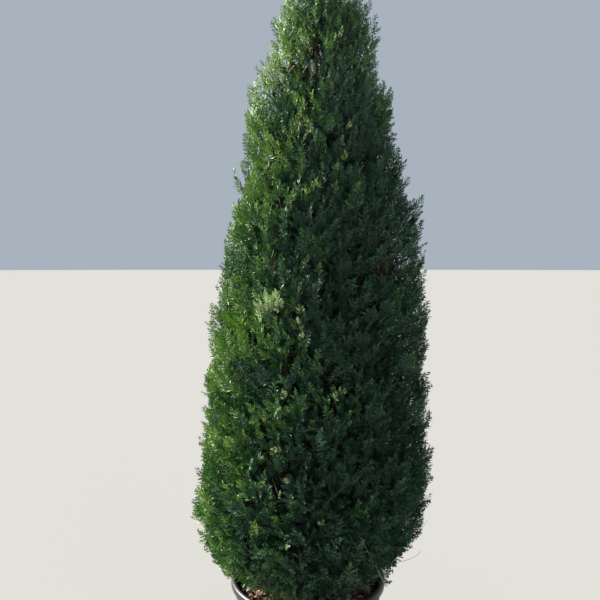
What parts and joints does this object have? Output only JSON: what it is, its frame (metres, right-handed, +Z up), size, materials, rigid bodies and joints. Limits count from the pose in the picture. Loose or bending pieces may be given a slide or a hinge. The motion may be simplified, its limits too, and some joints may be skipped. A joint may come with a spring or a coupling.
{
  "type": "potted thuja",
  "caption": "Tall narrow evergreen thuja with dense scale-leaf foliage down to its base, growing on a slender trunk in a round black plastic nursery pot.",
  "frame": {"origin": "centre of the pot's flat underside", "axes": "+Z up along the trunk, -Y towards the viewer of the picture, +X to their right"},
  "size_m": [0.8124, 0.8234, 2.76],
  "materials": {
    "pot": "satin",
    "soil": "rough",
    "bark": "rough",
    "foliage": "matt"
  },
  "bodies": {
    "root": {"pot": "pot", "soil": "soil", "trunk": "bark", "bough_1_1": "bark", "foliage_1_1": "foliage", "bough_1_2": "bark", "foliage_1_2": "foliage", "bough_1_3": "bark", "foliage_1_3": "foliage", "bough_1_4": "bark", "foliage_1_4": "foliage", "bough_1_5": "bark", "foliage_1_5": "foliage", "bough_1_6": "bark", "foliage_1_6": "foliage", "bough_2_1": "bark", "foliage_2_1": "foliage", "bough_2_2": "bark", "foliage_2_2": "foliage", "bough_2_3": "bark", "foliage_2_3": "foliage", "bough_2_4": "bark", "foliage_2_4": "foliage", "bough_2_5": "bark", "foliage_2_5": "foliage", "bough_3_1": "bark", "foliage_3_1": "foliage", "bough_3_2": "bark", "foliage_3_2": "foliage", "bough_3_3": "bark", "foliage_3_3": "foliage", "bough_3_4": "bark", "foliage_3_4": "foliage", "bough_3_5": "bark", "foliage_3_5": "foliage", "bough_4_1": "bark", "foliage_4_1": "foliage", "bough_4_2": "bark", "foliage_4_2": "foliage", "bough_4_3": "bark", "foliage_4_3": "foliage", "bough_4_4": "bark", "foliage_4_4": "foliage", "bough_5_1": "bark", "foliage_5_1": "foliage", "bough_5_2": "bark", "foliage_5_2": "foliage", "bough_5_3": "bark", "foliage_5_3": "foliage", "bough_5_4": "bark", "foliage_5_4": "foliage", "bough_6_1": "bark", "foliage_6_1": "foliage", "bough_6_2": "bark", "foliage_6_2": "foliage", "bough_6_3": "bark", "foliage_6_3": "foliage", "foliage_leader": "foliage"}
  },
  "joints": []
}
